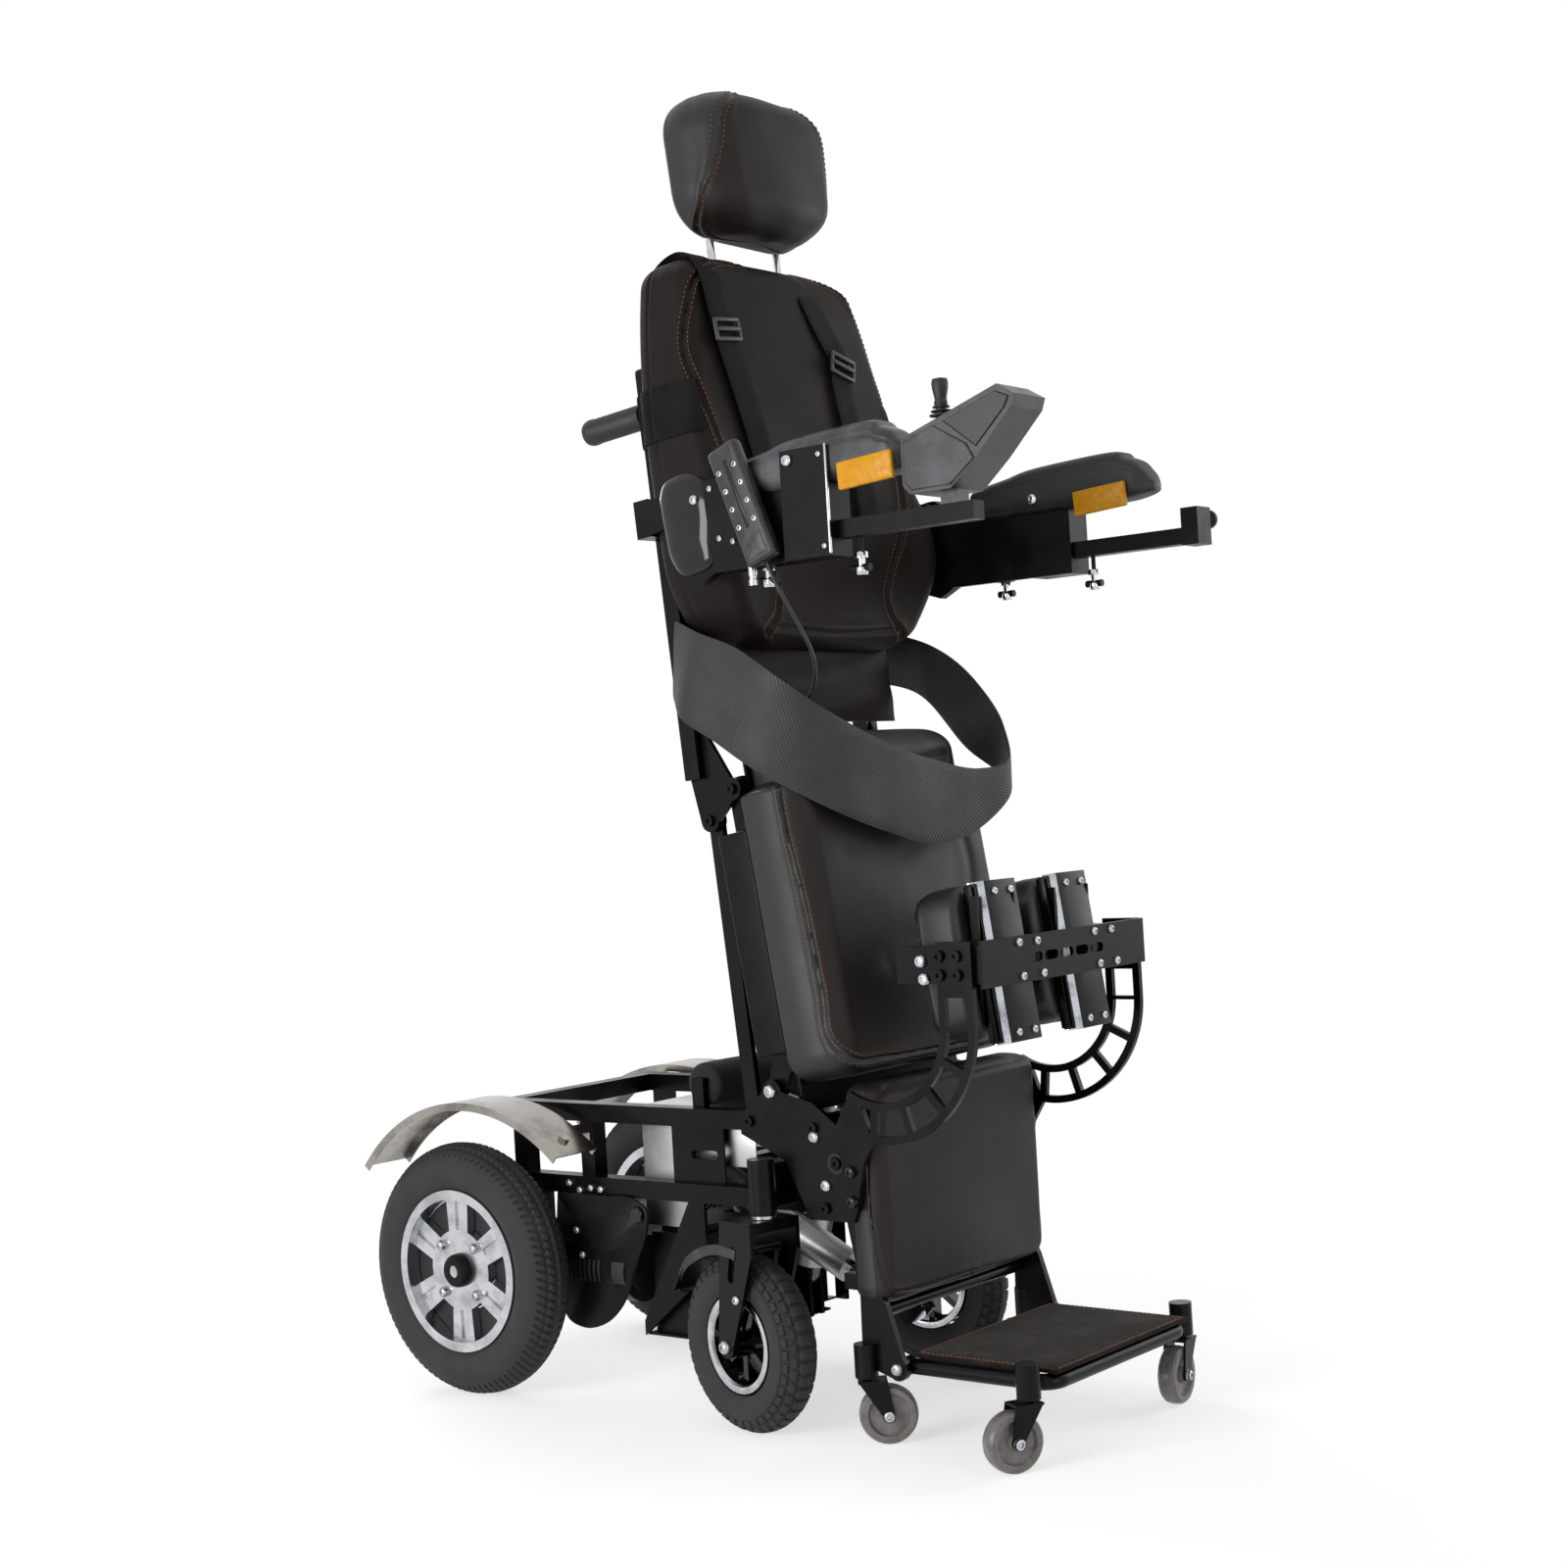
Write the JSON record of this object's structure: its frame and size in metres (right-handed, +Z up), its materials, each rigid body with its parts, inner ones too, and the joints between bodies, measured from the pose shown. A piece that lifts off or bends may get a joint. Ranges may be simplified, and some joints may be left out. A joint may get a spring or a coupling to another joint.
{
  "type": "standing wheelchair",
  "caption": "Power standing wheelchair in its raised pose, with padded seat, back and headrest, knee support, flip-up arms, lap belt, folding footplate and drive wheels.",
  "frame": {"origin": "on the floor, in the middle of the chair in plan", "axes": "+Z up, -Y to the front, -X to the user's right; stored in the raised pose"},
  "size_m": [0.624, 1.226, 1.8001],
  "materials": {
    "frame_paint": "satin black paint",
    "motor_cast": "dark cast housing",
    "case_plastic": "matt",
    "fender_steel": "brushed",
    "upholstery": "soft grained",
    "foam": "matt foam",
    "tread": "matt",
    "alloy": "polished",
    "zinc": "zinc plated",
    "urethane": "translucent grey",
    "chrome": "polished",
    "webbing": "woven",
    "carpet": "looped",
    "cable": "smooth"
  },
  "bodies": {
    "base": {"side_frame_r": "frame_paint", "side_frame_l": "frame_paint", "cross_members": "frame_paint", "battery_box": "case_plastic", "motor_r": "motor_cast", "motor_l": "motor_cast", "fender_r": "fender_steel", "fender_l": "fender_steel", "pivot_plate_r": "frame_paint", "pivot_plate_l": "frame_paint", "seat_roller": "foam", "knee_arch_r": "frame_paint", "knee_arch_l": "frame_paint", "knee_bar": "frame_paint", "knee_pad_r": "upholstery", "knee_pad_l": "upholstery"},
    "seat": {"seat_frame": "frame_paint", "seat_cushion": "upholstery"},
    "link": {"back_link": "frame_paint"},
    "back": {"back_frame": "frame_paint", "back_cushion": "upholstery", "hip_panel": "webbing", "lap_belt": "webbing", "harness": "webbing"},
    "leg": {"leg_frame": "frame_paint", "calf_pad": "upholstery"},
    "foot": {"footplate": "frame_paint", "foot_mat": "carpet"},
    "head": {"headrest_posts": "chrome", "headrest_pad": "upholstery"},
    "right_arm": {"arm_r": "frame_paint", "arm_pad_r": "upholstery", "joystick_module": "case_plastic", "handset": "case_plastic", "handset_cable": "cable"},
    "stick": {"joystick": "case_plastic"},
    "left_arm": {"arm_l": "frame_paint", "arm_pad_l": "upholstery"},
    "lift_body": {"lift_tube": "alloy"},
    "lift_piston": {"lift_rod": "chrome"},
    "leg_body": {"leg_tube": "alloy"},
    "leg_piston": {"leg_rod": "chrome"},
    "wheel_r": {"tyre_r": "tread", "rim_r": "alloy"},
    "fork_r": {"caster_fork_r": "frame_paint"},
    "caster_r": {"caster_tyre_r": "tread", "caster_rim_r": "alloy"},
    "wheel_l": {"tyre_l": "tread", "rim_l": "alloy"},
    "fork_l": {"caster_fork_l": "frame_paint"},
    "caster_l": {"caster_tyre_l": "tread", "caster_rim_l": "alloy"},
    "small_fork_rr": {"foot_fork_rr": "zinc"},
    "small_wheel_rr": {"foot_wheel_rr": "urethane"},
    "small_fork_lr": {"foot_fork_lr": "zinc"},
    "small_wheel_lr": {"foot_wheel_lr": "urethane"},
    "small_fork_rf": {"foot_fork_rf": "zinc"},
    "small_wheel_rf": {"foot_wheel_rf": "urethane"},
    "small_fork_lf": {"foot_fork_lf": "zinc"},
    "small_wheel_lf": {"foot_wheel_lf": "urethane"}
  },
  "joints": [
    {"name": "lift", "type": "hinge", "parent": "base", "child": "seat", "pos_m": [0, -0.113, 0.442], "axis": [1, 0, 0], "range_deg": [-78, 0], "deforming": ["lap_belt", "hip_panel"]},
    {"name": "recline", "type": "hinge", "parent": "seat", "child": "back", "pos_m": [0, -0.07541, 0.83597], "axis": [1, 0, 0], "range_deg": [0, 78]},
    {"name": "parallel_link", "type": "hinge", "parent": "base", "child": "link", "pos_m": [0, -0.073, 0.402], "axis": [1, 0, 0], "range_deg": [-78, 0]},
    {"name": "leg_swing", "type": "hinge", "parent": "base", "child": "leg", "pos_m": [0, -0.214, 0.354], "axis": [1, 0, 0], "range_deg": [-15.6, 0]},
    {"name": "footplate_fold", "type": "hinge", "parent": "leg", "child": "foot", "pos_m": [0, -0.283, 0.098], "axis": [1, 0, 0], "range_deg": [-75, 0]},
    {"name": "drive_wheel_r", "type": "hinge", "parent": "base", "child": "wheel_r", "pos_m": [-0.222, 0.435, 0.178], "axis": [1, 0, 0], "continuous": true},
    {"name": "caster_swivel_r", "type": "hinge", "parent": "base", "child": "fork_r", "pos_m": [-0.212, -0.106, 0.3], "axis": [0, 0, 1], "range_deg": [-48, 122]},
    {"name": "caster_roll_r", "type": "hinge", "parent": "fork_r", "child": "caster_r", "pos_m": [-0.20327, -0.06492, 0.117], "axis": [0.9781, -0.2079, 0], "continuous": true},
    {"name": "drive_wheel_l", "type": "hinge", "parent": "base", "child": "wheel_l", "pos_m": [0.222, 0.435, 0.178], "axis": [1, 0, 0], "continuous": true},
    {"name": "caster_swivel_l", "type": "hinge", "parent": "base", "child": "fork_l", "pos_m": [0.212, -0.106, 0.3], "axis": [0, 0, 1], "range_deg": [-116, 54]},
    {"name": "caster_roll_l", "type": "hinge", "parent": "fork_l", "child": "caster_l", "pos_m": [0.20761, -0.06423, 0.117], "axis": [0.9945, 0.1045, 0], "continuous": true},
    {"name": "foot_swivel_rr", "type": "hinge", "parent": "leg", "child": "small_fork_rr", "pos_m": [-0.184, -0.237, 0.1], "axis": [0, 0, 1], "continuous": true},
    {"name": "foot_roll_rr", "type": "hinge", "parent": "small_fork_rr", "child": "small_wheel_rr", "pos_m": [-0.16827, -0.25643, 0.0375], "axis": [-0.7771, -0.6293, 0], "continuous": true},
    {"name": "foot_swivel_lr", "type": "hinge", "parent": "leg", "child": "small_fork_lr", "pos_m": [0.184, -0.237, 0.1], "axis": [0, 0, 1], "continuous": true},
    {"name": "foot_roll_lr", "type": "hinge", "parent": "small_fork_lr", "child": "small_wheel_lr", "pos_m": [0.19255, -0.21351, 0.0375], "axis": [0.9397, -0.342, 0], "continuous": true},
    {"name": "foot_swivel_rf", "type": "hinge", "parent": "foot", "child": "small_fork_rf", "pos_m": [-0.184, -0.48, 0.1], "axis": [0, 0, 1], "continuous": true},
    {"name": "foot_roll_rf", "type": "hinge", "parent": "small_fork_rf", "child": "small_wheel_rf", "pos_m": [-0.20607, -0.46826, 0.0375], "axis": [0.4695, 0.8829, 0], "continuous": true},
    {"name": "foot_swivel_lf", "type": "hinge", "parent": "foot", "child": "small_fork_lf", "pos_m": [0.184, -0.48, 0.1], "axis": [0, 0, 1], "continuous": true},
    {"name": "foot_roll_lf", "type": "hinge", "parent": "small_fork_lf", "child": "small_wheel_lf", "pos_m": [0.15919, -0.48305, 0.0375], "axis": [-0.1219, 0.9925, 0], "continuous": true},
    {"name": "arm_flip_r", "type": "hinge", "parent": "back", "child": "right_arm", "pos_m": [-0.25, -0.086, 1.20497], "axis": [1, 0, 0], "range_deg": [-90, 0], "deforming": ["handset_cable"]},
    {"name": "arm_flip_l", "type": "hinge", "parent": "back", "child": "left_arm", "pos_m": [0.25, -0.086, 1.20497], "axis": [1, 0, 0], "range_deg": [-90, 0]},
    {"name": "joystick_tilt", "type": "hinge", "parent": "right_arm", "child": "stick", "pos_m": [-0.261, -0.49, 1.23597], "axis": [1, 0, 0], "range_deg": [-18, 18], "stiffness_Nm_per_rad": 0.5},
    {"name": "headrest_height", "type": "slide", "parent": "back", "child": "head", "axis": [0, 0.0872, 0.9962], "range_m": [-0.025, 0.06]},
    {"name": "lift_actuator", "type": "hinge", "parent": "base", "child": "lift_body", "pos_m": [0.048, 0.038, 0.15], "axis": [1, 0, 0], "range_deg": [-5.26, 0]},
    {"name": "lift_stroke", "type": "slide", "parent": "lift_body", "child": "lift_piston", "axis": [0, -0.2941, 0.9558], "range_m": [-0.11444, 0]},
    {"name": "leg_actuator", "type": "hinge", "parent": "base", "child": "leg_body", "pos_m": [-0.048, 0.118, 0.3], "axis": [1, 0, 0], "range_deg": [-4.43, 0]},
    {"name": "leg_stroke", "type": "slide", "parent": "leg_body", "child": "leg_piston", "axis": [0, -0.9019, -0.432], "range_m": [0, 0.04945]}
  ],
  "couplings": [
    {"joint": "recline", "follows": "lift", "ratio": -1},
    {"joint": "parallel_link", "follows": "lift", "ratio": 1},
    {"joint": "leg_swing", "follows": "lift", "ratio": 0.2},
    {"joint": "lift_actuator", "follows": "lift", "ratio": 0.067384},
    {"joint": "lift_stroke", "follows": "lift", "m_per_rad": 0.084065},
    {"joint": "leg_actuator", "follows": "lift", "ratio": 0.056795},
    {"joint": "leg_stroke", "follows": "lift", "m_per_rad": -0.036324}
  ]
}
